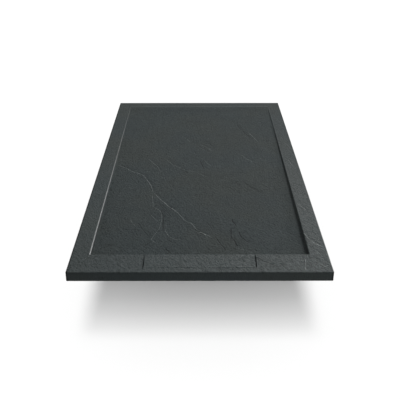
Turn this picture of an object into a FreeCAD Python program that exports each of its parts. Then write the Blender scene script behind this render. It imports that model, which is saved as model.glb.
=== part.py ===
import FreeCAD, Part
import math
import os
import Sketcher

V = FreeCAD.Vector

# Driving dimensions, in millimetres and degrees. The tray lies with its underside on z = 0, its length
# along Y and its drain end at -Y. Every feature below is bound to these cells.
SIZES = [
    ("trayWidth", 800),          # across the tray, along X
    ("trayLength", 1600),        # along Y
    ("trayHeight", 30),          # underside to rim
    ("cornerRadius", 4),         # upright corners of the slab
    ("topArris", 2.5),           # rounding of the rim's outer edge
    ("sideRim", 58),             # flat rim beside the basin
    ("farRim", 61),              # flat rim behind the basin
    ("drainRim", 105),           # wide rim at the drain end
    ("nearDepth", 19),           # basin's depth at the drain end
    ("farDepth", 1),             # basin's depth at the far end
    ("wallDraft", 8),            # lean of the basin's side walls, degrees
    ("coveRadius", 4),           # hollow between a side wall and the floor
    ("coverWidth", 340),         # drain cover, along X
    ("coverThick", 8),
    ("coverStrip", 28),          # rim left between the cover and the outer edge
    ("coverSideGap", 3),         # at each short end of the cover
    ("coverEdgeGap", 1),         # between the cover and the strip
    ("coverArris", 1),           # rounding of the cover's top edges
    ("coverDrop", 0.2),          # cover's top below the rim
    ("ledgeWidth", 15),          # seat at each end of the sump
    ("padDiameter", 10),
    ("padProud", 1.5),           # pad's height below the cover
    ("padSunk", 0.5),            # pad's height inside the cover
    ("padInset", 14),            # pad centres from the cover's long edges
    ("studDiameter", 14),        # studs that carry the cover's middle
    ("studOffset", 80),          # stud centres from the waste's axis
    ("sumpFall", 1),             # fall of the sump's floor to the waste
    ("flangeDiameter", 72),
    ("flangeLand", 10),          # flat of the flange outside the strainer's seat, for the screws
    ("flangeThick", 2),
    ("sealThick", 1),            # seal under the flange
    ("recessGap", 0.5),          # round the flange and round the collar
    ("webThick", 3),             # resin that the waste clamps
    ("seatStep", 1),             # strainer's seat beyond the hole through the web
    ("skirtGap", 0.5),           # between the hole and the flange's skirt
    ("skirtWall", 1.5),
    ("collarMargin", 3.5),       # collar beyond the flange's edge
    ("collarLip", 1.1),          # collar's bore inside the hole: it takes the trap's threaded neck
    ("collarSealThick", 0.8),
    ("collarSunk", 0.5),         # collar's face above the tray's underside
    ("screwDiameter", 4),
    ("headDiameter", 8),
    ("screwPlay", 0.5),          # round a screw in the web and the seals
    ("threadPlay", 0.05),        # round a screw in its insert
    ("insertDiameter", 6),
    ("strainerGap", 0.5),        # round the strainer, in its seat and in the skirt
    ("strainerSheet", 0.8),      # sheet the strainer is pressed from
    ("strainerSunk", 4.6),       # height of the dish's underside over the tray's underside
    ("strainerHole", 3.2),       # drain holes of the strainer
    ("holeMargin", 4.7),         # centres of the outer ring of holes from the dish's wall
    ("holeRingStep", 6),         # from that ring to the inner one
    ("rivetDiameter", 2.5),      # knob's foot through the dish
    ("stemDiameter", 5),
    ("knobDiameter", 11),
    ("knobNeck", 4),             # bare stem under the knob's head
    ("knobFlare", 1.2),          # height of the head's underside
    ("knobEdge", 1.6),           # height of the head's upright edge
    ("knobHeight", 8),
    ("knobChamfer", 1.1),        # top edge of the head, measured inwards
    ("socketDiameter", 2.88),    # screw's hexagon socket, across its corners
    ("socketDepth", 1.4),
]
SCREWS = 4
INNER_HOLES = 8
OUTER_HOLES = 16

doc = FreeCAD.newDocument("ShowerTray")
sheet = doc.addObject("Spreadsheet::Sheet", "Sizes")
for row, (alias, value) in enumerate(SIZES, start=1):
    sheet.set("A%d" % row, alias)
    sheet.set("B%d" % row, str(value))
    sheet.setAlias("B%d" % row, alias)
doc.recompute()


def size(alias):
    """The number in one cell, for the first guess of a sketch and for choosing edges."""
    return float(getattr(sheet, alias))


def bind(text):
    """An expression on the sheet's cells: every alias in the text gets the sheet's name."""
    words = text
    for alias, _ in sorted(SIZES, key=lambda cell: -len(cell[0])):
        words = words.replace(alias, "<%d>" % [name for name, _ in SIZES].index(alias))
    for index, (alias, _) in enumerate(SIZES):
        words = words.replace("<%d>" % index, "Sizes." + alias)
    return words


# Levels and places that several pieces share, as expressions on the cells.
basinNear = "(drainRim - trayLength / 2)"
basinFar = "(trayLength / 2 - farRim)"
nearFloor = "(trayHeight - nearDepth)"
farFloor = "(trayHeight - farDepth)"
sumpFloor = "(trayHeight - nearDepth - sumpFall)"
seatDepth = "(drainRim - coverStrip)"
coverDepth = "(drainRim - coverStrip - coverEdgeGap)"
coverUnder = "(trayHeight - coverDrop - coverThick)"
coverCentre = "(drainRim - trayLength / 2 - (drainRim - coverStrip - coverEdgeGap) / 2)"
ledgeLevel = "(trayHeight - coverDrop - coverThick - padProud)"
wasteCentre = "(drainRim - trayLength / 2 - (drainRim - coverStrip) / 2)"
seatWidth = "(coverWidth + 2 * coverSideGap)"
webTop = "(trayHeight - nearDepth - sumpFall - flangeThick - sealThick)"
webUnder = "(trayHeight - nearDepth - sumpFall - flangeThick - sealThick - webThick)"
flangeUnder = "(trayHeight - nearDepth - sumpFall - flangeThick)"
collarTop = "(trayHeight - nearDepth - sumpFall - flangeThick - sealThick - webThick - collarSealThick)"
strainerSeat = "(flangeDiameter - 2 * flangeLand)"
strainerRim = "(flangeDiameter - 2 * flangeLand - 2 * strainerGap)"
wasteHole = "(flangeDiameter - 2 * flangeLand - 2 * seatStep)"
skirtOuter = "(%s - 2 * skirtGap)" % wasteHole
skirtInner = "(%s - 2 * skirtWall)" % skirtOuter
dishOuter = "(%s - 2 * strainerGap)" % skirtInner
outerHoleCircle = "(%s - 2 * strainerSheet - 2 * holeMargin)" % dishOuter
innerHoleCircle = "(%s - 2 * holeRingStep)" % outerHoleCircle
screwCircle = "(flangeDiameter - flangeLand)"
collarDiameter = "(flangeDiameter + 2 * collarMargin)"
collarBore = "(%s - 2 * collarLip)" % wasteHole
screwPlace = screwCircle + " / 2 * cos(45deg)"
screwBore = "(screwDiameter + 2 * screwPlay)"


def newBody(label):
    body = doc.addObject("PartDesign::Body", label)
    body.Label = label
    return body


def newSketch(body, name, role, east="0", north="0", out="0"):
    """A sketch on one of the body's own origin planes, moved in the plane and along its normal."""
    sketch = body.newObject("Sketcher::SketchObject", name)
    plane = [item for item in body.Origin.OriginFeatures if item.Role == role][0]
    sketch.AttachmentSupport = [(plane, "")]
    sketch.MapMode = "FlatFace"
    sketch.setExpression(".AttachmentOffset.Base.x", bind("(%s) * 1mm" % east))
    sketch.setExpression(".AttachmentOffset.Base.y", bind("(%s) * 1mm" % north))
    sketch.setExpression(".AttachmentOffset.Base.z", bind("(%s) * 1mm" % out))
    return sketch


def value(text):
    """What an expression comes to now."""
    return float(sheet.evalExpression(bind(text).replace("Sizes.", "")))


def dimension(sketch, kind, name, text, *places):
    """A driving dimension with a name, bound to the sheet."""
    number = sketch.addConstraint(Sketcher.Constraint(kind, *places, value(text)))
    sketch.renameConstraint(number, name)
    sketch.setExpression("Constraints." + name, bind(text))


def rectangle(sketch, width, depth):
    """A rectangle centred on the sketch's origin."""
    x, y = value(width) / 2, value(depth) / 2
    corners = [V(-x, -y, 0), V(x, -y, 0), V(x, y, 0), V(-x, y, 0)]
    for index in range(4):
        sketch.addGeometry(Part.LineSegment(corners[index], corners[(index + 1) % 4]))
    for index in range(4):
        sketch.addConstraint(Sketcher.Constraint("Coincident", index, 2, (index + 1) % 4, 1))
    for index in (0, 2):
        sketch.addConstraint(Sketcher.Constraint("Horizontal", index))
        sketch.addConstraint(Sketcher.Constraint("Vertical", index + 1))
    sketch.addConstraint(Sketcher.Constraint("Symmetric", 0, 1, 1, 2, -1, 1))
    dimension(sketch, "DistanceX", "width", width, 0, 1, 0, 2)
    dimension(sketch, "DistanceY", "depth", depth, 1, 1, 1, 2)


def circle(sketch, diameter, name="diameter", across="0", along="0"):
    """A circle of one diameter, at a place given from the sketch's origin."""
    centre = V(value(across), value(along), 0)
    edge = sketch.addGeometry(Part.Circle(centre, V(0, 0, 1), value(diameter) / 2))
    dimension(sketch, "Diameter", name, diameter, edge)
    if across == "0" and along == "0":
        sketch.addConstraint(Sketcher.Constraint("Coincident", edge, 3, -1, 1))
        return
    dimension(sketch, "DistanceX", name + "Across", across, -1, 1, edge, 3)
    dimension(sketch, "DistanceY", name + "Along", along, -1, 1, edge, 3)


def polygon(sketch, points):
    """A closed outline whose corners each stand at a bound place in the sketch's plane."""
    places = [V(value(x), value(y), 0) for x, y in points]
    count = len(points)
    for index in range(count):
        sketch.addGeometry(Part.LineSegment(places[index], places[(index + 1) % count]))
    for index in range(count):
        sketch.addConstraint(Sketcher.Constraint("Coincident", index, 2, (index + 1) % count, 1))
    for index, (x, y) in enumerate(points):
        dimension(sketch, "DistanceX", "x%d" % index, x, -1, 1, index, 1)
        dimension(sketch, "DistanceY", "y%d" % index, y, -1, 1, index, 1)


def pad(body, sketch, length, name="Pad"):
    feature = body.newObject("PartDesign::Pad", name)
    feature.Profile = sketch
    feature.setExpression("Length", bind(length))
    doc.recompute()
    return feature


def pocket(body, sketch, depth, name, reverse=False):
    """A pocket below its sketch, or above it when reversed. One that cuts nothing stops the build."""
    before = body.Shape.Volume
    feature = body.newObject("PartDesign::Pocket", name)
    feature.Profile = sketch
    feature.Reversed = reverse
    feature.setExpression("Length", bind(depth))
    doc.recompute()
    if body.Shape.Volume >= before - 0.01:
        raise RuntimeError("pocket %s cuts nothing" % name)
    return feature


def revolve(body, sketch, name="Turned"):
    """A full turn of a half profile about the sketch's upright axis."""
    feature = body.newObject("PartDesign::Revolution", name)
    feature.Profile = sketch
    feature.ReferenceAxis = (sketch, ["V_Axis"])
    feature.Angle = 360
    doc.recompute()
    return feature


def polar(body, feature, sketch, count, name):
    """Copies of a feature round the sketch's normal."""
    pattern = body.newObject("PartDesign::PolarPattern", name)
    pattern.Originals = [feature]
    pattern.Axis = (sketch, ["N_Axis"])
    pattern.Angle = 360
    pattern.Occurrences = count
    body.Tip = pattern
    doc.recompute()
    return pattern


def edgesWhere(shape, test):
    """Names of the edges whose every vertex and middle pass the test."""
    names = []
    for index, edge in enumerate(shape.Edges, start=1):
        middle = edge.valueAt((edge.FirstParameter + edge.LastParameter) / 2)
        if all(test(point) for point in [vertex.Point for vertex in edge.Vertexes] + [middle]):
            names.append("Edge%d" % index)
    return names


def rounded(body, feature, names, radius, name):
    fillet = body.newObject("PartDesign::Fillet", name)
    fillet.Base = (feature, names)
    fillet.setExpression("Radius", bind(radius))
    doc.recompute()
    return fillet


def near(a, b, limit=0.01):
    return abs(a - b) < limit


def ringOfHoles(body, name, diameter, across, along, level, depth, count):
    """Holes round the waste's axis, the first at a place from it, cut downwards from one level."""
    sketch = newSketch(body, name + "Circle", "XY_Plane", north=wasteCentre, out=level)
    circle(sketch, diameter, across=across, along=along)
    hole = pocket(body, sketch, depth, name)
    return polar(body, hole, sketch, count, name + "s")


def screwRing(body, name, diameter, level, depth):
    """The four holes for the waste's screws or for their inserts."""
    return ringOfHoles(body, name, diameter, screwPlace, screwPlace, level, depth, SCREWS)


# Tray body: the slab, rounded at its upright corners and round its rim.
tray = newBody("tray_body")
outline = newSketch(tray, "SlabOutline", "XY_Plane")
rectangle(outline, "trayWidth", "trayLength")
slab = pad(tray, outline, "trayHeight", "Slab")
halfWidth = value("trayWidth / 2")
halfLength = value("trayLength / 2")
rimLevel = value("trayHeight")
upright = edgesWhere(slab.Shape, lambda p: near(abs(p.x), halfWidth) and near(abs(p.y), halfLength))
corners = rounded(tray, slab, upright, "cornerRadius", "UprightCorners")
rimEdges = edgesWhere(corners.Shape, lambda p: near(p.z, rimLevel))
rounded(tray, corners, rimEdges, "topArris", "RimArris")


def basinSection(name, place, floor):
    """Cross-section of the basin's cutter: leaning walls, coves and floor, open above the rim."""
    sketch = newSketch(tray, name, "XZ_Plane", out="-%s" % place)
    lean = "tan(wallDraft * 1deg)"
    roof = "(trayHeight + nearDepth)"
    mouth = "(trayWidth / 2 - sideRim + nearDepth * %s)" % lean
    draft = math.radians(size("wallDraft"))
    radius = size("coveRadius")
    top, low = value(roof), value(floor)
    outer = value(mouth)
    foot = outer - (top - low) * math.tan(draft)
    run = radius * math.tan((math.pi / 2 - draft) / 2)
    centre = V(foot - run, low + radius, 0)
    heel = centre + V(radius * math.cos(draft), -radius * math.sin(draft), 0)

    def flip(point):
        return V(-point.x, point.y, 0)

    axis = V(0, 0, 1)
    leftCove, rightCove = (Part.Circle(place, axis, radius) for place in (flip(centre), centre))
    sketch.addGeometry(Part.LineSegment(V(-outer, top, 0), flip(heel)))
    sketch.addGeometry(Part.ArcOfCircle(leftCove, math.pi + draft, 1.5 * math.pi))
    sketch.addGeometry(Part.LineSegment(V(-centre.x, low, 0), V(centre.x, low, 0)))
    sketch.addGeometry(Part.ArcOfCircle(rightCove, 1.5 * math.pi, 2 * math.pi - draft))
    sketch.addGeometry(Part.LineSegment(heel, V(outer, top, 0)))
    sketch.addGeometry(Part.LineSegment(V(outer, top, 0), V(-outer, top, 0)))
    for first, second in ((0, 1), (1, 2), (2, 3), (3, 4)):
        sketch.addConstraint(Sketcher.Constraint("Tangent", first, 2, second, 1))
    for first, second in ((4, 5), (5, 0)):
        sketch.addConstraint(Sketcher.Constraint("Coincident", first, 2, second, 1))
    sketch.addConstraint(Sketcher.Constraint("Horizontal", 2))
    sketch.addConstraint(Sketcher.Constraint("Symmetric", 0, 1, 4, 2, -2))
    sketch.addConstraint(Sketcher.Constraint("Symmetric", 0, 2, 4, 1, -2))
    dimension(sketch, "Radius", "cove", "coveRadius", 1)
    dimension(sketch, "DistanceY", "floor", floor, -1, 1, 2, 2)
    dimension(sketch, "DistanceY", "roof", roof, -1, 1, 4, 2)
    dimension(sketch, "DistanceX", "mouth", mouth, -1, 1, 4, 2)
    slope = sketch.addConstraint(Sketcher.Constraint("Angle", 4, math.pi / 2 - draft))
    sketch.renameConstraint(slope, "lean")
    sketch.setExpression("Constraints.lean", bind("90deg - wallDraft * 1deg"))
    return sketch


# The basin: one loft from the deep section at the drain end to the shallow one at the far end, so the
# floor falls in one plane and the walls run out to nothing where it meets the rim.
drainSection = basinSection("DrainEndSection", basinNear, nearFloor)
farSection = basinSection("FarEndSection", basinFar, farFloor)
before = tray.Shape.Volume
basin = tray.newObject("PartDesign::SubtractiveLoft", "Basin")
basin.Profile = drainSection
basin.Sections = [farSection]
basin.Ruled = True
doc.recompute()
if tray.Shape.Volume >= before - 0.01:
    raise RuntimeError("the basin cuts nothing")

# The drain end: a seat for the cover, open to the basin along its whole length, and the sump below it,
# whose floor falls from both ends to the waste.
seat = newSketch(tray, "SeatOutline", "XY_Plane", north=wasteCentre, out="trayHeight")
rectangle(seat, seatWidth, seatDepth)
pocket(tray, seat, "coverDrop + coverThick + padProud", "CoverSeat")
sump = newSketch(tray, "SumpProfile", "XZ_Plane", out="-" + basinNear)
sumpHalf = "(coverWidth / 2 + coverSideGap - ledgeWidth)"
polygon(sump, [
    ("-" + sumpHalf, nearFloor),
    ("-flangeDiameter / 2 - recessGap", sumpFloor),
    ("flangeDiameter / 2 + recessGap", sumpFloor),
    (sumpHalf, nearFloor),
    (sumpHalf, "trayHeight"),
    ("-" + sumpHalf, "trayHeight"),
])
pocket(tray, sump, seatDepth, "Sump", reverse=True)
studs = newSketch(tray, "StudCircles", "XY_Plane", north=coverCentre, out=webTop)
circle(studs, "studDiameter", "leftStud", across="-studOffset")
circle(studs, "studDiameter", "rightStud", across="studOffset")
pad(tray, studs, "%s - %s" % (ledgeLevel, webTop), "Studs")

# The waste's places: a round recess for the flange, the hole through the web with its screw holes, and
# the recess for the collar in the underside.
for name, diameter, level, depth, reverse in (
    ("FlangeRecess", "flangeDiameter + 2 * recessGap", sumpFloor, "flangeThick + sealThick", False),
    ("WasteHole", wasteHole, webTop, "webThick", False),
    ("CollarRecess", collarDiameter + " + 2 * recessGap", "0", webUnder, True),
):
    sketch = newSketch(tray, name + "Circle", "XY_Plane", north=wasteCentre, out=level)
    circle(sketch, diameter)
    pocket(tray, sketch, depth, name, reverse)
screwRing(tray, "ScrewHole", screwBore, webTop, "webThick")


# Drain cover: a plate of the tray's slate with soft top edges and a shallow seat for each pad.
def padPlaces():
    """Centres of the six pads from the cover's centre: four on the end ledges, two on the studs."""
    end = "(coverWidth / 2 + coverSideGap / 2 - ledgeWidth / 2)"
    side = "(%s / 2 - padInset)" % coverDepth
    places = [(sx + end, sy + side) for sx in ("-", "") for sy in ("-", "")]
    return places + [("-studOffset", "0"), ("studOffset", "0")]


cover = newBody("drain_cover")
plate = newSketch(cover, "PlateOutline", "XY_Plane", north=coverCentre, out=coverUnder)
rectangle(plate, "coverWidth", coverDepth)
coverPlate = pad(cover, plate, "coverThick", "Plate")
coverTop = value("trayHeight - coverDrop")
topEdges = edgesWhere(coverPlate.Shape, lambda p: near(p.z, coverTop))
rounded(cover, coverPlate, topEdges, "coverArris", "PlateArris")
padSeats = newSketch(cover, "PadSeats", "XY_Plane", north=coverCentre, out=coverUnder)
for index, (across, along) in enumerate(padPlaces()):
    circle(padSeats, "padDiameter", "seat%d" % index, across, along)
pocket(cover, padSeats, "padSunk", "PadRecesses", reverse=True)

# Cover pads: six soft discs that fill those seats and stand on the ledges and studs.
pads = []
for index, (across, along) in enumerate(padPlaces()):
    disc = doc.addObject("Part::Cylinder", "CoverPad%d" % index)
    disc.setExpression("Radius", bind("padDiameter / 2"))
    disc.setExpression("Height", bind("padProud + padSunk"))
    disc.setExpression(".Placement.Base.x", bind("(%s) * 1mm" % across))
    disc.setExpression(".Placement.Base.y", bind("(%s + %s) * 1mm" % (coverCentre, along)))
    disc.setExpression(".Placement.Base.z", bind("%s * 1mm" % ledgeLevel))
    pads.append(disc)
coverPads = doc.addObject("Part::Compound", "cover_pads")
coverPads.Label = "cover_pads"
coverPads.Links = pads


def turnedBody(label, points):
    """A body turned from half its section, about the waste's upright axis."""
    body = newBody(label)
    sketch = newSketch(body, "Section", "XZ_Plane", out="-" + wasteCentre)
    polygon(sketch, points)
    revolve(body, sketch)
    return body


# Waste flange: a pressed disc with a step for the strainer's rim, a skirt down through the tray and
# four countersunk screw holes.
flange = turnedBody("waste_flange", [
    ("flangeDiameter / 2", flangeUnder),
    ("flangeDiameter / 2", sumpFloor),
    (strainerSeat + " / 2", sumpFloor),
    (strainerSeat + " / 2", sumpFloor + " - strainerSheet"),
    (skirtInner + " / 2", sumpFloor + " - strainerSheet"),
    (skirtInner + " / 2", webUnder),
    (skirtOuter + " / 2", webUnder),
    (skirtOuter + " / 2", flangeUnder),
])
countersink = newSketch(flange, "CountersinkPlace", "XY_Plane", north=wasteCentre, out=sumpFloor)
circle(countersink, "screwDiameter", across=screwPlace, along=screwPlace)
sink = flange.newObject("PartDesign::Hole", "Countersink")
sink.Profile = countersink
sink.DepthType = "ThroughAll"
sink.HoleCutType = "Countersink"
sink.HoleCutCountersinkAngle = 90
sink.setExpression("Diameter", bind("screwDiameter"))
sink.setExpression("HoleCutDiameter", bind("headDiameter"))
doc.recompute()
polar(flange, sink, countersink, SCREWS, "Countersinks")


def flatRing(label, outer, inner, low, thick):
    """A flat ring round the waste's axis, with the four screw holes."""
    body = newBody(label)
    sketch = newSketch(body, "Ring", "XY_Plane", north=wasteCentre, out=low)
    circle(sketch, outer, "outer")
    circle(sketch, inner, "inner")
    pad(body, sketch, thick)
    return body


seal = flatRing("flange_seal", "flangeDiameter", wasteHole, webTop, "sealThick")
screwRing(seal, "ScrewHole", screwBore, flangeUnder, "sealThick")
lowerSeal = flatRing("collar_seal", collarDiameter, wasteHole, collarTop, "collarSealThick")
screwRing(lowerSeal, "ScrewHole", screwBore, webUnder, "collarSealThick")
collarThick = collarTop + " - collarSunk"
collar = flatRing("waste_collar", collarDiameter, collarBore, "collarSunk", collarThick)
screwRing(collar, "InsertHole", "insertDiameter", collarTop, collarThick)


def atEachScrew(label, makeOne):
    """One solid at each of the four screw places, gathered in one piece."""
    copies = []
    for index in range(SCREWS):
        angle = "(45deg + %ddeg)" % (360 * index // SCREWS)
        item = makeOne(index)
        across = "%s / 2 * cos(%s)" % (screwCircle, angle)
        along = "%s / 2 * sin(%s)" % (screwCircle, angle)
        item.setExpression(".Placement.Base.x", bind("%s * 1mm" % across))
        item.setExpression(".Placement.Base.y", bind("(%s + %s) * 1mm" % (wasteCentre, along)))
        copies.append(item)
    group = doc.addObject("Part::Compound", label)
    group.Label = label
    group.Links = copies
    return group


def cylinder(name, radius, height, low):
    item = doc.addObject("Part::Cylinder", name)
    item.setExpression("Radius", bind(radius))
    item.setExpression("Height", bind(height))
    item.setExpression(".Placement.Base.z", bind("(%s) * 1mm" % low))
    return item


def insert(index):
    """A brass bush in the collar, bored for the screw's thread."""
    bush = cylinder("Bush%d" % index, "insertDiameter / 2", collarThick, "0")
    bore = cylinder("Bore%d" % index, "screwDiameter / 2 + threadPlay", collarThick, "0")
    item = doc.addObject("Part::Cut", "Insert%d" % index)
    item.Base = bush
    item.Tool = bore
    item.setExpression(".Placement.Base.z", bind("collarSunk * 1mm"))
    return item


def screw(index):
    """A countersunk screw with a plain shank and a hexagon socket, its head level with the flange."""
    reach = "(%s - collarSunk)" % sumpFloor
    taper = "(headDiameter - screwDiameter) / 2"
    shank = cylinder("Shank%d" % index, "screwDiameter / 2", reach, "0")
    head = doc.addObject("Part::Cone", "Head%d" % index)
    head.setExpression("Radius1", bind("screwDiameter / 2"))
    head.setExpression("Radius2", bind("headDiameter / 2"))
    head.setExpression("Height", bind(taper))
    head.setExpression(".Placement.Base.z", bind("(%s - %s) * 1mm" % (reach, taper)))
    whole = doc.addObject("Part::Fuse", "Blank%d" % index)
    whole.Base = shank
    whole.Tool = head
    socket = doc.addObject("Part::Prism", "Socket%d" % index)
    socket.Polygon = 6
    socket.setExpression("Circumradius", bind("socketDiameter / 2"))
    socket.setExpression("Height", bind("2 * socketDepth"))
    socket.setExpression(".Placement.Base.z", bind("(%s - socketDepth) * 1mm" % reach))
    item = doc.addObject("Part::Cut", "Screw%d" % index)
    item.Base = whole
    item.Tool = socket
    item.setExpression(".Placement.Base.z", bind("collarSunk * 1mm"))
    return item


inserts = atEachScrew("collar_inserts", insert)
screws = atEachScrew("flange_screws", screw)

# Hair strainer: a pressed dish hanging by its rim in the flange, with two rings of drain holes.
dishFloor = "(strainerSunk + strainerSheet)"
strainer = turnedBody("hair_strainer", [
    ("rivetDiameter / 2", "strainerSunk"),
    (dishOuter + " / 2", "strainerSunk"),
    (dishOuter + " / 2", sumpFloor + " - strainerSheet"),
    (strainerRim + " / 2", sumpFloor + " - strainerSheet"),
    (strainerRim + " / 2", sumpFloor),
    (dishOuter + " / 2 - strainerSheet", sumpFloor),
    (dishOuter + " / 2 - strainerSheet", dishFloor),
    ("rivetDiameter / 2", dishFloor),
])
for name, holeCircle, count in (
    ("InnerHole", innerHoleCircle, INNER_HOLES),
    ("OuterHole", outerHoleCircle, OUTER_HOLES),
):
    place = holeCircle + " / 2"
    ringOfHoles(strainer, name, "strainerHole", place, "0", dishFloor, "strainerSheet", count)

# Strainer knob: a turned mushroom riveted through the dish's middle.
headLow = dishFloor + " + knobNeck"
knob = turnedBody("strainer_knob", [
    ("0", "strainerSunk"),
    ("rivetDiameter / 2", "strainerSunk"),
    ("rivetDiameter / 2", dishFloor),
    ("stemDiameter / 2", dishFloor),
    ("stemDiameter / 2", headLow),
    ("knobDiameter / 2", headLow + " + knobFlare"),
    ("knobDiameter / 2", headLow + " + knobFlare + knobEdge"),
    ("knobDiameter / 2 - knobChamfer", dishFloor + " + knobHeight"),
    ("0", dishFloor + " + knobHeight"),
])

doc.recompute()
pieces = [tray, cover, coverPads, flange, seal, lowerSeal, collar, inserts, screws, strainer, knob]
for item in doc.Objects:
    if "Invalid" in item.State or "Error" in item.State:
        raise RuntimeError("%s failed: %s" % (item.Label, item.State))
for piece in pieces:
    if piece.Shape.isNull() or not piece.Shape.isValid():
        raise RuntimeError("%s has no valid shape" % piece.Label)
os.makedirs("parts", exist_ok=True)
for piece in pieces:
    piece.Shape.exportStep("parts/%s.step" % piece.Label)
    print(piece.Label, len(piece.Shape.Solids), "solids", round(piece.Shape.Volume / 1000, 2), "cm3")
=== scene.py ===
import math

import bmesh
import bpy
import numpy as np
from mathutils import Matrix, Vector


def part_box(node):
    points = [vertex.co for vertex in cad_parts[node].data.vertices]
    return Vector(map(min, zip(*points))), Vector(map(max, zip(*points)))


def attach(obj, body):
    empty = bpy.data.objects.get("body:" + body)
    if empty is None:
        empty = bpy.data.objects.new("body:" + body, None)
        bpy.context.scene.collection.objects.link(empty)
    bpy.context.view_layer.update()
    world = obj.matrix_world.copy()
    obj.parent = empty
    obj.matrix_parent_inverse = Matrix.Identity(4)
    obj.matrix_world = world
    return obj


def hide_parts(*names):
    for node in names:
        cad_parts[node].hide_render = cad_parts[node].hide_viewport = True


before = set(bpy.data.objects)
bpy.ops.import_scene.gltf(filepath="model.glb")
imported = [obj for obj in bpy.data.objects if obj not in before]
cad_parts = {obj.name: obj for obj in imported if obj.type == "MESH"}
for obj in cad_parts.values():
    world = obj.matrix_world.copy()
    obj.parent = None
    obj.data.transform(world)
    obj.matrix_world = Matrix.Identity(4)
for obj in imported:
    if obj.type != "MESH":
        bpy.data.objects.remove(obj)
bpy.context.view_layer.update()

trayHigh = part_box("tray_body")[1]
coverLow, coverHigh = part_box("drain_cover")
print("frame loaded:", len(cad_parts), "nodes")

tiny = 1e-9  # less than this is nothing
slack = 1e-6  # places nearer than this are the same, in metres
cadSlack = 1e-5  # the same for the frame's own meshes
justPast = 1.0001  # a size a hair larger

# The camera stands in front of the drain end and looks along the tray. Angles are in degrees.
cameraSettings = {
    "place": (-0.003, -2.5137, 1.1168),
    "pitch": 26.30,  # below the horizon
    "yaw": 0.12,  # towards +X
    "focal": 679.4,  # in pixels of the photograph's frame
    "frame": 400,
    "sensor": 36.0,  # millimetres
    "farthest": 50.0,
}


def makeCamera(settings):
    data = bpy.data.cameras.new("camera")
    data.sensor_width = settings["sensor"]
    data.lens = settings["focal"] / settings["frame"] * data.sensor_width
    data.clip_end = settings["farthest"]
    camera = bpy.data.objects.new("camera", data)
    camera.location = settings["place"]
    camera.rotation_euler = (math.radians(90 - settings["pitch"]), 0.0, -math.radians(settings["yaw"]))
    bpy.context.scene.collection.objects.link(camera)
    bpy.context.scene.camera = camera


# Directions from the camera through pixels of the photograph's frame: forward, plus right and up by the
# pixel's distance from the middle over the focal length.
def pixelRays(pixels, settings):
    pitch, yaw = math.radians(settings["pitch"]), math.radians(settings["yaw"])
    forward = np.array([math.sin(yaw) * math.cos(pitch), math.cos(yaw) * math.cos(pitch), -math.sin(pitch)])
    right = np.array([math.cos(yaw), -math.sin(yaw), 0.0])
    up = np.cross(right, forward)
    middle = settings["frame"] / 2
    across = (np.asarray(pixels, float) - middle) / settings["focal"]
    return forward + across[:, :1] * right - across[:, 1:] * up


makeCamera(cameraSettings)

# The tray, in metres. Its outer size, the rim's height and the cover's edge come from the frame.
traySettings = {
    "sideRim": 0.058,
    "farRim": 0.061,
    "nearDepth": 0.019,
    "farDepth": 0.001,
    "draft": 8.0,  # lean of the side walls, degrees
    "cove": 0.004,
    "lip": 0.0018,  # rounding of the basin's upper edge
    "lipOverDepth": 0.5,  # and the most it may be of the basin's depth
    "lipEnds": (0.004, 0.01),  # it fades out over these, near and far
    "corner": 0.004,  # upright corners
    "arris": 0.0025,  # outer edge of the rim
    "farRamp": 0.075,  # the floor runs softly up into the far rim
    "skin": 0.0001,  # and stays this far below it
    "seatHalf": 0.173,  # half the cover's seat
    "seatFront": -0.772,
    "basinMargin": 0.001,  # the floor's finish starts this far inside the walls

    # Its grid. Relief fades in over the calm distances.
    "columnStep": 0.0040,
    "rimStep": 0.0034,
    "nearStep": 0.0029,  # rows are closest at the drain end
    "farStep": 0.0056,
    "edgeShares": (0.0, 0.06, 0.22, 0.5, 1.0),  # lines over a rounded outer edge
    "lipShares": (1.0, 0.62, 0.34, 0.14, 0.0),  # lines over the basin's lip
    "wallCells": 5,  # down a side wall and its cove
    "wallShare": 0.4,  # of them on the straight wall
    "sideCells": 6,  # down the outer faces
    "outerCalm": 0.014,  # in from the outer edge
    "seatCalm": 0.003,  # away from the cover's seat
    "mouthCalm": 0.006,  # and from the sump
    "wallCalm": 0.006,  # on both sides of the basin's edge
    "wallRelief": 0.25,  # share of the relief that is left there

    # Polish of the basin's worn left edge.
    "polish": (0.95, 0.12),  # at the drain end and at the far end
    "wornFrom": 0.6,  # of the depth: above this the wall is worn
}
halfWidth, halfLength, rimLevel = trayHigh.x, trayHigh.y, trayHigh.z
basinNear = coverHigh.y
basinFar = halfLength - traySettings["farRim"]
basinHalf = halfWidth - traySettings["sideRim"]


# A value kept from 0 to 1.
def held(value):
    return np.clip(value, 0.0, 1.0)


# Height of the basin's floor: one plane falling from the far end to the drain end.
def floorLevel(y):
    share = held((y - basinNear) / (basinFar - basinNear))
    return rimLevel - traySettings["nearDepth"] * (1 - share) - traySettings["farDepth"] * share


period = 256  # cells after which a noise repeats


# Random heights at the corners of square cells, blended between them by 6t^5 - 15t^4 + 10t^3.
def latticeNoise(x, y, cell, seed):
    table = np.random.default_rng(seed).uniform(-1.0, 1.0, (period, period))
    u, v = x / cell, y / cell
    i, j = np.floor(u).astype(int), np.floor(v).astype(int)
    f, g = (t * t * t * (t * (t * 6 - 15) + 10) for t in (u - i, v - j))
    nextI, nextJ = (i + 1) % period, (j + 1) % period
    i, j = i % period, j % period
    low = table[i, j] * (1 - f) + table[nextI, j] * f
    high = table[i, nextJ] * (1 - f) + table[nextI, nextJ] * f
    return low * (1 - g) + high * g


# Noise with ever finer and fainter layers added, each half as large as the last.
def layeredNoise(x, y, cell, layers, seed):
    total = sum(latticeNoise(x, y, cell / 2 ** n, seed + n) / 2 ** n for n in range(layers))
    return total / sum(1 / 2 ** n for n in range(layers))


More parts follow.
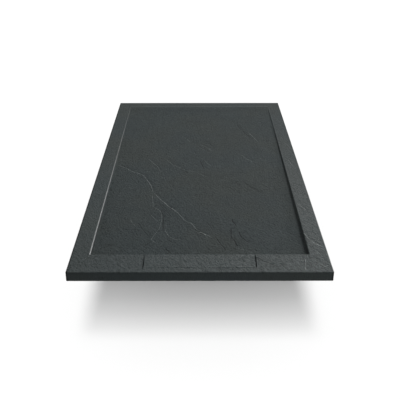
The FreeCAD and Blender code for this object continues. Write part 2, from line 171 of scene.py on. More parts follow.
# Slate: how its relief is made, in metres. The grain runs from the far left to the near right.
slateSettings = {
    "grainAngle": -62.0,  # degrees from +X
    "swell": 0.00025,  # broad hollows
    "swellCell": 0.16,
    "cleft": 0.00060,  # thin steps where the layers broke
    "cleftCell": 0.085,
    "cleftStretch": 3.2,
    "levels": 5,
    "slope": 0.28,  # share of a level that slopes down to the next
    "bend": 0.02,  # how far the steps wander
    "bendCell": 0.13,
    "pitting": 0.00010,
    "pittingCell": 0.011,
    "pittingStretch": 1.8,
    "mean": 0.00045,  # mean depth, by which the floor is lifted
    "layers": (3, 4, 2),  # of the noises for hollows, steps and pits
    "seeds": {"rim": 100, "floor": 300, "cover": 500},
}


# Depth below the face, from 0 to under 1 mm: a broad noise, plus thin terraces drawn out along the grain,
# where a noise is cut into levels with short slopes between them, plus small pits.
def slateRelief(x, y, place):
    s = slateSettings
    seed = s["seeds"][place]
    bendSeed, cleftSeed, pittingSeed = seed + 20, seed + 30, seed + 50
    swellLayers, cleftLayers, pittingLayers = s["layers"]
    angle = math.radians(s["grainAngle"])
    along = x * math.cos(angle) + y * math.sin(angle)
    across = -x * math.sin(angle) + y * math.cos(angle)
    swell = layeredNoise(x, y, s["swellCell"], swellLayers, seed)
    bend = s["bend"] * latticeNoise(x, y, s["bendCell"], bendSeed)
    drawn = along / s["cleftStretch"]
    height = layeredNoise(drawn, across + bend, s["cleftCell"], cleftLayers, cleftSeed)
    stair = (height + 1) / 2 * s["levels"]
    step = stair - np.floor(stair)
    terrace = (np.floor(stair) + held((step - 1 + s["slope"]) / s["slope"])) / s["levels"]
    drawn = along / s["pittingStretch"]
    pits = layeredNoise(drawn, across, s["pittingCell"], pittingLayers, pittingSeed)
    return s["swell"] * (swell + 1) / 2 + s["cleft"] * terrace + s["pitting"] * (pits + 1) / 2


# Veins and cracks seen on the photographed tray, as pixels of its 400 x 400 frame. Each has a strength, and
# the places it runs through.
floorVeins = [
    (0.65, [(118, 165), (122, 167), (126, 168), (129, 170), (133, 172), (138, 173), (142, 175), (144, 176),
            (147, 180), (150, 184), (152, 188), (153, 192)]),
    (0.6, [(153, 192), (155, 194), (158, 197), (162, 201), (165, 203)]),
    (1.0, [(164, 202), (169, 207), (173, 209), (177, 212)]),
    (0.55, [(176, 211), (180, 215), (183, 219), (187, 222)]),
    (0.9, [(186, 221.5), (188.5, 222.6), (191, 223), (193, 225)]),
    (0.5, [(192.5, 224.5), (196, 229), (198, 233)]),
    (1.1, [(196.5, 232), (199, 233.6), (201, 232), (204, 234), (207, 235.3)]),
    (0.5, [(206, 235), (209, 236), (212, 238)]),
    (0.4, [(153, 192), (152, 196), (153, 202), (153, 207), (155, 208), (159, 210), (161, 212), (162, 217),
           (161, 223), (160, 227), (158, 230), (155, 234), (153, 237), (151, 240), (154, 242), (158, 244)]),
    (0.45, [(166, 222), (166, 227), (165, 230), (167, 234), (169, 237), (172, 238), (177, 240), (181, 240)]),
    (0.4, [(167, 159), (169, 162), (173, 165), (178, 167), (183, 169), (186, 171), (191, 171), (196, 172),
           (200, 174), (204, 176), (209, 177)]),
    (0.4, [(148, 159), (150, 160), (153, 163), (157, 166), (159, 169), (161, 173)]),
    (0.35, [(202, 159), (204, 160), (207, 163), (211, 166)]),
    (0.5, [(248, 132), (249, 133), (252, 136), (256, 140), (258, 142)]),
    (0.4, [(198, 144), (204, 146), (209, 149), (212, 151)]),
    (0.3, [(182, 136), (183, 137), (188, 140), (190, 142)]),
    (0.4, [(241, 155), (243, 156), (245, 158), (251, 161), (253, 162)]),
    (0.35, [(259, 158), (261, 159), (263, 161), (268, 161)]),
    (0.12, [(268, 230), (270, 230), (280, 233), (285, 235), (288, 237)]),
    (0.15, [(289, 238), (290, 239), (293, 242), (297, 244), (300, 245)]),
    (0.35, [(238, 248), (240, 249), (246, 250), (250, 252), (254, 253)]),
    (0.3, [(130, 219), (131, 221), (133, 224), (136, 227)]),
    (0.3, [(151, 215), (152, 216), (156, 220), (158, 221)]),
]
floorCracks = [
    (1.0, [(232, 219), (232, 221), (235, 224), (236, 226)]),
    (1.0, [(231, 228), (231, 230), (231, 238), (234, 240), (236, 244), (238, 247)]),
    (1.0, [(239, 232), (240, 235), (242, 238), (245, 240), (248, 242), (250, 243)]),
    (0.9, [(217, 239), (218, 241), (221, 245), (224, 248), (226, 251)]),
    (0.5, [(229, 187), (231, 189), (234, 191), (238, 192), (240, 193)]),
    (0.8, [(235, 182), (236, 183), (238, 185), (240, 186)]),
    (0.6, [(252, 187), (255, 189), (258, 191), (261, 193)]),
    (0.4, [(245, 183), (248, 185), (250, 187), (252, 189)]),
    (0.7, [(200, 161), (201, 163), (203, 167), (204, 169)]),
    (0.7, [(237, 125), (239, 127), (242, 130), (245, 134), (251, 138), (253, 140)]),
    (0.9, [(169, 207), (170, 208), (172, 210), (174, 211)]),
    (0.5, [(138, 223), (139, 224), (143, 230), (147, 235), (149, 237)]),
    (0.8, [(144, 247), (146, 245), (149, 243), (151, 242)]),
    (0.7, [(161, 210), (162, 213), (164, 216), (163, 220), (163, 228), (163, 232)]),
    (0.6, [(168, 240), (170, 241), (173, 243), (176, 243)]),
    (0.6, [(195, 229), (197, 231), (198, 234), (202, 234), (205, 236)]),
    (0.6, [(181, 168), (183, 170), (186, 172), (188, 173)]),
    (0.5, [(156, 202), (158, 204), (163, 208), (168, 213), (172, 218)]),
    (0.3, [(286, 231), (289, 233), (293, 235), (297, 235), (300, 238)]),
    (0.4, [(207, 223), (209, 225), (211, 228), (213, 230)]),
    (0.5, [(198, 145), (200, 147), (208, 151), (210, 152)]),
    (0.4, [(206, 141), (208, 143), (213, 147), (215, 149)]),
    (0.8, [(165, 248), (167, 250), (170, 253)]),
]
rimVeins = [
    (1.4, [(303, 232), (307, 237), (311, 241), (316, 244), (320.5, 246), (323.6, 246.8)]),
    (0.7, [(301, 222), (302, 223), (305, 225), (308, 227)]),
    (0.6, [(309, 255), (314, 259), (318, 262), (321, 264)]),
    (1.5, [(321, 264), (323.5, 265.8), (326, 266.4), (329, 265.2)]),
    (0.7, [(304.8, 258), (305.5, 262), (305.5, 268), (305.8, 270)]),
    (0.5, [(284, 143), (287, 144.5), (289.5, 147), (291, 149)]),
    (0.5, [(287.5, 159), (289, 161), (291, 164), (293, 166)]),
    (0.5, [(297, 203), (300, 205), (303, 208), (306, 210)]),
    (0.3, [(82, 261), (85, 259), (88, 256), (91, 254)]),
    (0.3, [(238, 266.4), (246, 266.6), (255, 266.4)]),
    (0.3, [(199, 266.4), (205, 266.6), (211, 266.4)]),
]
rimCracks = [
    (0.5, [(309, 256), (311, 257), (316, 260), (319, 263)]),
    (1.3, [(257, 257), (260, 259), (264, 261.5), (267, 262.3), (270.5, 263.6), (274.5, 265.5),
           (279.5, 267.3)]),
    (0.6, [(291, 259), (291, 260), (292, 262), (293, 263)]),
    (0.6, [(66, 273), (67, 272), (70, 268), (71, 267)]),
    (0.7, [(321.6, 265.6), (323.4, 267.0), (325, 267.6)]),
    (1.0, [(255.4, 255), (255.8, 259), (256.2, 263), (256.4, 267)]),
    (0.9, [(144.0, 258), (143.7, 260.5), (143.4, 263)]),
    (0.9, [(143.4, 263.5), (143.2, 265), (143.0, 267)]),
]
lineSettings = {
    "reach": 0.012,  # metres to each side of a line
    "endFade": 0.06,  # share of its length that fades at each end
    "sideFade": 0.3,  # share of its reach that fades at each side
    "cuts": 2,  # how often its corners are cut
    "cutShare": 0.25,  # and at what share of each run
}


# Places on the tray seen at those pixels: where the rays meet the rim's plane or the floor's.
def onTray(pixels, level):
    eye = np.array(cameraSettings["place"])
    rays = pixelRays(pixels, cameraSettings)
    if level == "rim":
        reach = (rimLevel - eye[2]) / rays[:, 2]
    else:
        slope = (floorLevel(basinFar) - floorLevel(basinNear)) / (basinFar - basinNear)
        base = floorLevel(basinNear) - slope * basinNear
        reach = (base + slope * eye[1] - eye[2]) / (rays[:, 2] - slope * rays[:, 1])
    return (eye + reach[:, None] * rays)[:, :2]


# A line through the places, rounded by cutting its corners.
def smoothLine(places):
    share = lineSettings["cutShare"]
    for _ in range(lineSettings["cuts"]):
        start, end = places[:-1], places[1:]
        cut = np.stack([start * (1 - share) + end * share, start * share + end * (1 - share)], axis=1)
        places = np.concatenate([places[:1], cut.reshape(-1, 2), places[-1:]])
    return places


# For every point: the signed distance to the nearest line, and how strongly it counts there, which is the
# line's strength, fading over its ends and beyond its reach.
def lineField(x, y, lines, level):
    s = lineSettings
    side = np.full(x.shape, s["reach"] * 2)
    best = np.full(x.shape, np.inf)
    weight = np.zeros(x.shape)
    for strength, pixels in lines:
        places = smoothLine(onTray(pixels, level))
        lengths = np.hypot(*np.diff(places, axis=0).T)
        whole, done = lengths.sum(), 0.0
        for start, end, length in zip(places[:-1], places[1:], lengths):
            dx, dy = (end - start) / length
            along = np.clip((x - start[0]) * dx + (y - start[1]) * dy, 0.0, length)
            gapX, gapY = x - start[0] - along * dx, y - start[1] - along * dy
            gap = np.hypot(gapX, gapY)
            nearer = gap < best
            best = np.where(nearer, gap, best)
            side = np.where(nearer, np.where(dx * gapY - dy * gapX > 0, gap, -gap), side)
            ends = np.minimum(done + along, whole - done - along)
            fade = held(ends / (s["endFade"] * whole))
            fade = fade * held((s["reach"] - gap) / (s["sideFade"] * s["reach"]))
            weight = np.where(nearer, strength * fade, weight)
            done += length
    return side, weight


# A mesh whose first faces are shaded smooth.
def meshFrom(name, vertices, faces, smoothFaces=0):
    mesh = bpy.data.meshes.new(name)
    mesh.from_pydata(vertices.tolist(), [], faces)
    mesh.validate()
    mesh.update()
    mesh.polygons.foreach_set("use_smooth", np.arange(len(mesh.polygons)) < smoothFaces)
    return mesh


def addAttribute(mesh, name, *parts):
    layer = mesh.attributes.new(name, "FLOAT_VECTOR", "POINT")
    layer.data.foreach_set("vector", np.stack(parts, axis=-1).ravel().astype(np.float32))


# Quads over a grid of vertices stored row by row; keep is a mask of the cells that stay.
def gridFaces(columns, rows, keep=None):
    index = np.arange(columns * rows).reshape(rows, columns)
    quads = np.stack([index[:-1, :-1], index[:-1, 1:], index[1:, 1:], index[1:, :-1]], axis=-1)
    return quads[keep] if keep is not None else quads.reshape(-1, 4)


# The grid's outer vertices, counter-clockwise seen from above.
def borderLoop(columns, rows):
    index = np.arange(columns * rows).reshape(rows, columns)
    return np.concatenate([index[0, :-1], index[:-1, -1], index[-1, :0:-1], index[:0:-1, 0]])


# Copies of a grid's border at lower levels, and the quads that join each ring to the one above.
def skirt(vertices, border, levels):
    rings, faces = [], []
    above, count = border, len(border)
    for number, level in enumerate(levels):
        ring = vertices[border].copy()
        ring[:, 2] = level
        rings.append(ring)
        below = len(vertices) + number * count + np.arange(count)
        faces.append(np.stack([above, below, np.roll(below, -1), np.roll(above, -1)], axis=-1))
        above = below
    return np.concatenate(rings), np.concatenate(faces)


# Pulls the square corners of a grid in to round ones: inside each corner's square, lines at one distance
# from the sides become arcs about the corner's centre.
def roundCorners(x, y, halfX, halfY, radius):
    dx, dy = np.abs(x) - (halfX - radius), np.abs(y) - (halfY - radius)
    inside = (dx > 0) & (dy > 0)
    pull = np.where(inside, np.maximum(dx, dy) / np.maximum(np.hypot(dx, dy), tiny), 1.0)
    newX = np.where(inside, np.sign(x) * (halfX - radius + dx * pull), x)
    newY = np.where(inside, np.sign(y) * (halfY - radius + dy * pull), y)
    return newX, newY


# Distance in from a rectangle's outline with round corners.
def outlineGap(x, y, halfX, halfY, radius):
    dx, dy = np.abs(x) - (halfX - radius), np.abs(y) - (halfY - radius)
    outer = np.hypot(np.maximum(dx, 0), np.maximum(dy, 0))
    return np.where((dx > 0) & (dy > 0), radius - outer, radius - np.maximum(dx, dy))


# How far a quarter-round edge lies below its top face, at a distance in from the outline: the radius, less
# the root of its square minus the square of what is left of it.
def arrisDrop(gap, radius):
    inner = np.clip(radius - gap, 0.0, radius)
    return radius - np.sqrt(radius ** 2 - inner ** 2)


# Distances in from an outline at which grid lines describe its rounded edge and corners.
def edgeInsets(arris, corner):
    insets = {arris * share for share in traySettings["edgeShares"]} | {corner * justPast}
    return np.array(sorted(insets))


# Lines from start to end whose spacing goes evenly from step to endStep.
def spacedLines(start, end, step, endStep=None):
    endStep = endStep or step
    count = max(2, int(round(abs(end - start) / ((step + endStep) / 2))))
    t = np.linspace(0.0, 1.0, count + 1)
    ease = t * step + t ** 2 * (endStep - step) / 2
    return start + (end - start) * ease / ease[-1]


# Radius of the basin's rounded upper edge: less where the basin is shallow, none beyond its ends.
def lipAt(y):
    s = traySettings
    near, far = s["lipEnds"]
    ends = held((y - basinNear) / near + 1) * held((basinFar - y) / far)
    return np.minimum(s["lip"], s["lipOverDepth"] * (rimLevel - floorLevel(y))) * ends


# Distance from the middle and height over the floor at share t down the basin's side: first the leaning
# wall, then the cove's arc. A basin shallower than its cove has only part of the arc.
def wallProfile(depth, lip, t):
    draft, radius = math.radians(traySettings["draft"]), traySettings["cove"]
    wallShare = traySettings["wallShare"]
    heel = radius * (1 - math.sin(draft))
    top = np.minimum(depth, heel)
    start = np.maximum(depth - lip, top)
    onWall = start + (top - start) * held(t / wallShare)
    angle = np.arccos(np.clip(1 - top / radius, -1.0, 1.0))
    turn = angle * (1 - held((t - wallShare) / (1 - wallShare)))
    onCove = radius * (1 - np.cos(turn))
    centre = basinHalf - (depth - heel) * math.tan(draft) - radius * math.cos(draft)
    wallX = basinHalf - (depth - onWall) * math.tan(draft)
    coveX = centre + radius * np.sin(turn)
    return np.where(t <= wallShare, wallX, coveX), np.where(t <= wallShare, onWall, onCove)


# Rows of the top sheet from the drain end: rim, floor, rim. With them, which of them cross the basin.
def sheetRows():
    s = traySettings
    insets = edgeInsets(s["arris"], s["corner"])
    near = np.concatenate([
        -halfLength + insets,
        spacedLines(-halfLength + insets[-1], s["seatFront"], s["nearStep"])[1:],
        spacedLines(s["seatFront"], basinNear - s["lip"], s["nearStep"])[1:-1],
        basinNear - s["lip"] * np.array(s["lipShares"]),
    ])
    floor = spacedLines(basinNear, basinFar, s["nearStep"], s["farStep"])
    far = np.concatenate([
        spacedLines(basinFar, halfLength - insets[-1], s["farStep"])[:-1],
        halfLength - insets[::-1],
    ])
    sunk = np.repeat([False, True, False], [len(near), len(floor), len(far)])
    return np.concatenate([near, floor, far]), sunk


# Columns of each row: rim, side wall and floor on the left, the cover's width, and the mirror image. With
# them, the height over the floor on the walls, and which points lie on the rim.
def sheetColumns(y, sunk):
    s = traySettings
    insets = edgeInsets(s["arris"], s["corner"])
    rim = np.concatenate([
        insets,
        spacedLines(insets[-1], s["sideRim"] - s["lip"], s["rimStep"])[1:-1],
        s["sideRim"] - s["lip"] * np.array(s["lipShares"]),
    ])
    down = np.linspace(0.0, 1.0, s["wallCells"] + 1)
    wallX, wallHeight = wallProfile((rimLevel - floorLevel(y))[:, None], lipAt(y)[:, None], down[None, :])
    foot = wallX[:, -1:]
    outer = spacedLines(0.0, 1.0, s["columnStep"] / (basinHalf - s["seatHalf"]))
    inner = spacedLines(0.0, 1.0, s["columnStep"] / (2 * s["seatHalf"]))
    rimX = -halfWidth + np.repeat(rim[None, :], len(y), axis=0)
    floorX = -foot + (foot - s["seatHalf"]) * outer[None, 1:]
    middle = np.repeat(-s["seatHalf"] + 2 * s["seatHalf"] * inner[None, 1:-1], len(y), axis=0)
    left = [rimX, -wallX, floorX]
    x = np.concatenate([*left, middle, *(-part[:, ::-1] for part in reversed(left))], axis=1)
    plain = np.zeros_like(rimX)
    flat = np.zeros((len(y), 2 * floorX.shape[1] + middle.shape[1]))
    lift = np.concatenate([plain, wallHeight, flat, wallHeight[:, ::-1], plain], axis=1)
    column = np.arange(x.shape[1])
    onRim = (column < len(rim)) | (column >= len(column) - len(rim)) | ~sunk[:, None]
    return x, lift, onRim


# How far the basin's rounded upper edge lies below the rim: beside the basin, and in front of it except
# along the cover's seat.
def lipDrop(x, y, lip):
    s = traySettings
    beside = np.abs(x) - basinHalf
    before = np.where((np.abs(x) < basinHalf) & (y < basinNear + tiny), basinNear - y, np.inf)
    drop = np.where(beside > -tiny, arrisDrop(beside, lip), arrisDrop(before, s["lip"]))
    return np.where((np.abs(x) < s["seatHalf"] - slack) & np.isfinite(before), 0.0, drop)


# Height of the rim: its level less its quarter-round outer edge, the slate's relief and the basin's lip.
def rimHeight(x, y, drop):
    s = traySettings
    gap = outlineGap(x, y, halfWidth, halfLength, s["corner"])
    seatMiddle, seatHalfDepth = (s["seatFront"] + basinNear) / 2, (basinNear - s["seatFront"]) / 2
    seatGap = np.maximum(np.abs(x) - s["seatHalf"], np.abs(y - seatMiddle) - seatHalfDepth)
    wallGap = np.abs(np.abs(x) - basinHalf)
    calm = held(gap / s["outerCalm"]) * held(seatGap / s["seatCalm"])
    edgeCalm = s["wallRelief"] + (1 - s["wallRelief"]) * held(wallGap / s["wallCalm"])
    return rimLevel - arrisDrop(gap, s["arris"]) - slateRelief(x, y, "rim") * calm * edgeCalm - drop


# Height of the basin: its sloping floor with the slate's relief, or the lift of a wall, all of it raised to
# the rim along 3t^2 - 2t^3 at the far end.
def basinHeight(x, y, lift):
    s = traySettings
    onFloor = lift < slack
    calm = held((y - basinNear) / s["mouthCalm"])
    relief = (slateRelief(x, y, "floor") - slateSettings["mean"]) * calm * onFloor
    rise = held((y - basinFar + s["farRamp"]) / s["farRamp"])
    level = floorLevel(y)
    height = level + lift - relief + (rimLevel - level - lift) * rise * rise * (3 - 2 * rise)
    return np.where(onFloor, np.minimum(height, rimLevel - s["skin"]), height)


# How polished the basin's left edge is: its lip and the top of its wall, less towards the far end.
def lipPolish(x, y, lift, onLip, sunk):
    near, far = traySettings["polish"]
    share = held(0.5 + y / (2 * halfLength))
    worn = sunk & (x < 0) & (onLip | (lift > traySettings["wornFrom"] * (rimLevel - floorLevel(y))))
    return worn * (near + (far - near) * share)


# The tray's upper side as one grid, with the cells over the cover's seat left open.
def makeTopSheet():
    s = traySettings
    y, sunk = sheetRows()
    x, lift, onRim = sheetColumns(y, sunk)
    y = np.repeat(y[:, None], x.shape[1], axis=1)
    lip = lipAt(y)
    x, y = roundCorners(x, y, halfWidth, halfLength, s["corner"])
    drop = lipDrop(x, y, lip)
    z = np.where(onRim, rimHeight(x, y, drop), basinHeight(x, y, lift))
    polish = lipPolish(x, y, lift, onRim & (drop > 0), sunk[:, None])
    inSeat = (np.abs(x) <= s["seatHalf"] + slack) & (y >= s["seatFront"] - slack) & (y <= basinNear + slack)
    seatCells = inSeat[:-1, :-1] & inSeat[:-1, 1:] & inSeat[1:, :-1] & inSeat[1:, 1:]
    return np.stack([x, y, z], axis=-1), ~seatCells, polish.ravel()


# Vertices and faces of a CAD node's mesh, merged, cut by planes and with only the faces that pass the test.
def cadPart(node, keep, planes=()):
    bm = bmesh.new()
    bm.from_mesh(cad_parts[node].data)
    bmesh.ops.remove_doubles(bm, verts=bm.verts, dist=slack)
    for place, normal in planes:
        geometry = bm.verts[:] + bm.edges[:] + bm.faces[:]
        bmesh.ops.bisect_plane(bm, geom=geometry, plane_co=place, plane_no=normal, clear_outer=True)
    bmesh.ops.delete(bm, geom=[face for face in bm.faces if not keep(face)], context="FACES")
    bmesh.ops.triangulate(bm, faces=bm.faces[:])
    bm.verts.index_update()
    vertices = np.array([v.co[:] for v in bm.verts])
    faces = np.array([[v.index for v in face.verts] for face in bm.faces])
    bm.free()
    return vertices, faces


# The tray's body: the upper sheet with its relief, the four outer faces, and, from the frame's own solid,
# the sump under the cover and the underside with its recess.
def makeTray():
    s = traySettings
    sheet, keep, polish = makeTopSheet()
    rows, columns = sheet.shape[:2]
    top = sheet.reshape(-1, 3)
    levels = np.linspace(rimLevel - s["arris"], 0.0, s["sideCells"] + 1)[1:]
    rings, walls = skirt(top, borderLoop(columns, rows), levels)
    smoothFaces = gridFaces(columns, rows, keep).tolist() + walls.tolist()

    sideCut, nearCut, farCut = s["seatHalf"] * justPast, s["seatFront"] - s["skin"], basinNear + s["skin"]
    aroundSeat = [((sideCut, 0, 0), (1, 0, 0)), ((-sideCut, 0, 0), (-1, 0, 0)),
                  ((0, farCut, 0), (0, 1, 0)), ((0, nearCut, 0), (0, -1, 0))]

    def inSump(face):
        middle = face.calc_center_median()
        return cadSlack < middle.z < rimLevel - cadSlack and middle.y < basinNear + cadSlack

    def onUnderside(face):
        return all(v.co.z < cadSlack for v in face.verts)

    parts, flatFaces = [top, rings], []
    for keepFace, planes in ((inSump, aroundSeat), (onUnderside, ())):
        more, bits = cadPart("tray_body", keepFace, planes)
        flatFaces += (bits + sum(len(part) for part in parts)).tolist()
        parts.append(more)
    vertices = np.concatenate(parts)
    mesh = meshFrom("slate_tray", vertices, smoothFaces + flatFaces, len(smoothFaces))

    x, y = vertices[:, 0], vertices[:, 1]
    upper = np.arange(len(vertices)) < len(top)
    inBasin = upper & (np.abs(x) < basinHalf - s["basinMargin"]) & (y > basinNear) & (y < basinFar)
    polish = np.concatenate([polish, np.zeros(len(vertices) - len(top))])
    for name, onFloor, onRim, mask in (("vein", floorVeins, rimVeins, inBasin),
                                       ("crack", floorCracks, rimCracks, polish)):
        low, high = lineField(x, y, onFloor, "floor"), lineField(x, y, onRim, "rim")
        side, weight = (np.where(inBasin, a, b) for a, b in zip(low, high))
        addAttribute(mesh, name, side, weight * upper, mask * 1.0)
    return bpy.data.objects.new("slate_tray", mesh)


coverSettings = {
    "corner": 0.0006,
    "arris": 0.001,
    "step": 0.0018,
    "calm": 0.003,  # relief fades in from the edge
    "edgeRelief": 0.15,  # share of it that is left there
    "sideCells": 3,
    "underside": 0.0006,  # the frame's faces up to this height are kept
    "tone": 1.06,  # paler than the tray
}


# The drain cover: a plate with a relief on top and the frame's own underside with its pad seats.
def makeCover():
    s = coverSettings
    middle = (coverLow + coverHigh) / 2
    halfX, halfY = (coverHigh.x - coverLow.x) / 2, (coverHigh.y - coverLow.y) / 2
    insets = edgeInsets(s["arris"], s["arris"])
    grid = []
    for half in (halfX, halfY):
        grid.append(np.concatenate([
            -half + insets,
            spacedLines(-half + insets[-1], half - insets[-1], s["step"])[1:-1],
            half - insets[::-1],
        ]))
    x, y = np.meshgrid(*grid)
    rows, columns = x.shape
    x, y = roundCorners(x, y, halfX, halfY, s["corner"])
    gap = outlineGap(x, y, halfX, halfY, s["corner"])
    x, y = x + middle.x, y + middle.y
    relief = slateRelief(x, y, "cover") * np.clip(gap / s["calm"], s["edgeRelief"], 1.0)
    z = coverHigh.z - arrisDrop(gap, s["arris"]) - relief
    top = np.stack([x, y, z], axis=-1).reshape(-1, 3)
    levels = np.linspace(coverHigh.z - s["arris"], coverLow.z, s["sideCells"] + 1)[1:]
    rings, walls = skirt(top, borderLoop(columns, rows), levels)

    def onUnderside(face):
        return max(v.co.z for v in face.verts) < coverLow.z + s["underside"]

    under, bits = cadPart("drain_cover", onUnderside)
    vertices = np.concatenate([top, rings, under])
    topFaces = gridFaces(columns, rows).tolist()
    otherFaces = walls.tolist() + (bits + len(top) + len(rings)).tolist()
    mesh = meshFrom("slate_cover", vertices, topFaces + otherFaces, len(topFaces))

    upper = np.arange(len(vertices)) < len(top)
    for name, lines in (("vein", rimVeins), ("crack", rimCracks)):
        side, weight = lineField(vertices[:, 0], vertices[:, 1], lines, "rim")
        addAttribute(mesh, name, side, weight * upper, np.zeros(len(vertices)))
    return bpy.data.objects.new("slate_cover", mesh)


# A shader value that sums, products and differences can be written with.
class ShaderValue:
    def __init__(self, graph, socket):
        self.graph, self.socket = graph, socket

    def maths(self, operation, *others):
        return self.graph.node("ShaderNodeMath", {"operation": operation}, [self, *others])

    def __add__(self, other):
        return self.maths("ADD", other)

    def __sub__(self, other):
        return self.maths("SUBTRACT", other)

    def __rsub__(self, other):
        return self.graph.node("ShaderNodeMath", {"operation": "SUBTRACT"}, [other, self])

    def __mul__(self, other):
        return self.maths("MULTIPLY", other)

    __radd__, __rmul__ = __add__, __mul__


# The nodes of one material or world.
class Graph:
    def __init__(self, owner):
        owner.use_nodes = True
        self.owner, self.tree = owner, owner.node_tree
        self.tree.nodes.clear()

    # Makes a node, sets it up, then gives its sockets numbers, colours or links.
    def node(self, kind, settings=None, values=(), output=0):
        made = self.tree.nodes.new(kind)
        for key, value in (settings or {}).items():
            setattr(made, key, value)
        pairs = values.items() if isinstance(values, dict) else enumerate(values)
        for key, value in pairs:
            if isinstance(value, ShaderValue):
                self.tree.links.new(value.socket, made.inputs[key])
            else:
                made.inputs[key].default_value = value
        return ShaderValue(self, made.outputs[output]) if len(made.outputs) else made

    # Object coordinates along axes turned about Z by degrees, divided by a scale.
    def place(self, turn=0.0, scale=(1.0, 1.0, 1.0)):
        start = self.node("ShaderNodeTexCoord", output="Object")
        return self.node("ShaderNodeMapping", {"vector_type": "TEXTURE"},
                         {"Vector": start, "Rotation": (0, 0, math.radians(turn)), "Scale": scale})

    # One axis of a vector: 0, 1 or 2.
    def axis(self, vector, number):
        return self.node("ShaderNodeSeparateXYZ", {}, [vector], number)

    # 1 for the camera's rays and those off gloss or through glass, else 0.
    def seenPlainly(self):
        kinds = ("Is Camera Ray", "Is Glossy Ray", "Is Transmission Ray")
        camera, glossy, through = (self.node("ShaderNodeLightPath", output=kind) for kind in kinds)
        return camera.maths("MAXIMUM", glossy).maths("MAXIMUM", through)

    def noise(self, place, scale, detail, roughness=0.55, distortion=0.0):
        return self.node("ShaderNodeTexNoise", {}, {"Vector": place, "Scale": scale, "Detail": detail,
                                                    "Roughness": roughness, "Distortion": distortion})

    # A value stretched smoothly from one range to another, with its ends held.
    def between(self, value, low, high, toLow=0.0, toHigh=1.0):
        ranges = {"Value": value, "From Min": low, "From Max": high, "To Min": toLow, "To Max": toHigh}
        return self.node("ShaderNodeMapRange", {"interpolation_type": "SMOOTHSTEP"}, ranges)

    # A noise of which one range counts, from 0 to 1.
    def spots(self, place, noise, span):
        return self.between(self.noise(place, *noise), *span)

    def mix(self, share, first, second, blend="MIX"):
        settings = {"data_type": "RGBA", "blend_type": blend}
        return self.node("ShaderNodeMix", settings, {0: share, 6: first, 7: second}, 2)

    # The surface shader. What varies feeds colour, roughness, coat weight and normal alone.
    def finish(self, colour, roughness, bump, strength, distance, **fixed):
        relief = {"Strength": strength, "Distance": distance, "Height": bump}
        normal = self.node("ShaderNodeBump", {}, relief)
        values = {"Base Color": colour, "Roughness": roughness, "Normal": normal}
        values.update({name.replace("_", " "): value for name, value in fixed.items()})
        shader = self.node("ShaderNodeBsdfPrincipled", {}, values)
        self.node("ShaderNodeOutputMaterial", {}, {"Surface": shader})
        return self.owner


# A colour read as 0 to 255 on screen, as the linear values that a shader takes, by the sRGB curve.
def rgb(red, green, blue):
    linear = [((c / 255 + 0.055) / 1.055) ** 2.4 if c > 10 else c / 255 / 12.92 for c in (red, green, blue)]
    return (*linear, 1.0)


# Slate's look: colours, shares from 0 to 1 and lengths in metres. A noise is given by scale, detail,
# roughness and distortion, and a range says which of its values count.
slateLook = {
    "cool": (49, 55, 57),
    "warm": (53, 56, 54),
    "broad": ((3.2, 3.0), (0.38, 0.62)),
    "base": (50, 56, 56),
    "baseShare": 0.55,
    "dustAndSheen": (70, 76, 76),  # paler bloom on the high grain, and the rim's painted sheen
    "dustShare": 0.35,
    "chips": (130.0, 5.0, 0.64, 0.4),
    "chipRange": (0.52, 0.78),
    "grainStretch": 1.8,
    "fine": (330.0, 3.0, 0.62),
    "hollow": (46, 50, 51),
    "hollowShare": 0.16,
    "patches": (9.0, 4.0),
    "patchRange": (0.35, 0.7),
    "dark": (10, 11, 12),  # pits, pecks and cracks, and the painted shade on edges and beside veins
    "pits": ((200.0, 3.0, 0.55), (0.30, 0.44)),
    "pitShare": 0.3,
    "pecks": ((115.0, 3.0, 0.55, 1.2), (0.60, 0.68)),
    "peckShare": 0.35,

    # Painted sheen: the rim is painted paler towards the drain end's right corner, with painted light and
    # dark glints on its grain, and it is less rough there.
    "rimPaintedSheen": 0.85,
    "sheenLeft": 0.3,  # share of that at the left side
    "sheenFront": 0.35,  # and painted on the drain end's face towards the right
    "rimMottle": 2.2,  # painted light and dark glints on the grain
    "rimPolish": 0.30,  # how much less rough

    # Veins and cracks: width, and how much of a line always shows.
    "vein": (0.0009, 0.25),
    "crack": (0.0018, 0.65),
    "core": 0.4,  # share of the width that is fully marked
    "ledge": 0.0012,  # half the width of the step at a line
    "pale": (165, 170, 168),
    "paleShare": 0.6,
    "shadeSide": 0.0021,  # painted shadow of a vein's ledge, this far to one side
    "shadeWidth": (0.0005, 0.0014),
    "shade": ((46.0, 2.0), (0.42, 0.56)),
    "shadeShare": 0.85,
    "wander": (110.0, 4.0, 0.7),
    "wanderBy": 0.0045,
    "tremble": (420.0, 2.0),
    "trembleBy": 0.0022,
    "uneven": ((75.0, 3.0), (0.36, 0.60)),

    # Painted shade on edges: distances in from the side and the drain end, and below the rim where the top
    # ends.
    "westEdgeShade": (0.0036, 0.0052),
    "upright": (0.0040, 0.0052),
    "frontEdge": (0.0040, 0.0060),
    "topEdge": (0.0028, 0.0018),
    "edgeShare": 0.9,

    # Heights in the bump, and how broken it is.
    "chipHeight": 0.9,
    "fineHeight": 0.45,
    "pitHeight": 0.34,
    "peckDepth": 0.4,
    "patchHeight": 0.8,
    "veinHeight": 0.25,
    "crackDepth": 0.9,
    "ledgeDepth": 0.22,
    "broken": 0.55,
    "brokenNear": 0.85,  # more at the drain end
    "smoothRight": 0.7,  # less on the right of the floor
    "smoothSides": 0.6,  # and on the outer faces
    "bump": (0.9, 0.0052),  # strength and distance

    # Gloss.
    "rimRough": 0.64,
    "floorRough": 0.72,
    "farRough": 0.16,  # rougher towards the far end
    "evenPlace": 0.7,  # where along the tray that is zero
    "chipRough": 0.3,  # more in the hollows of the grain
    "index": 1.45,
    "specular": 0.06,
    "coatRough": 0.42,  # worn lip of the basin
}
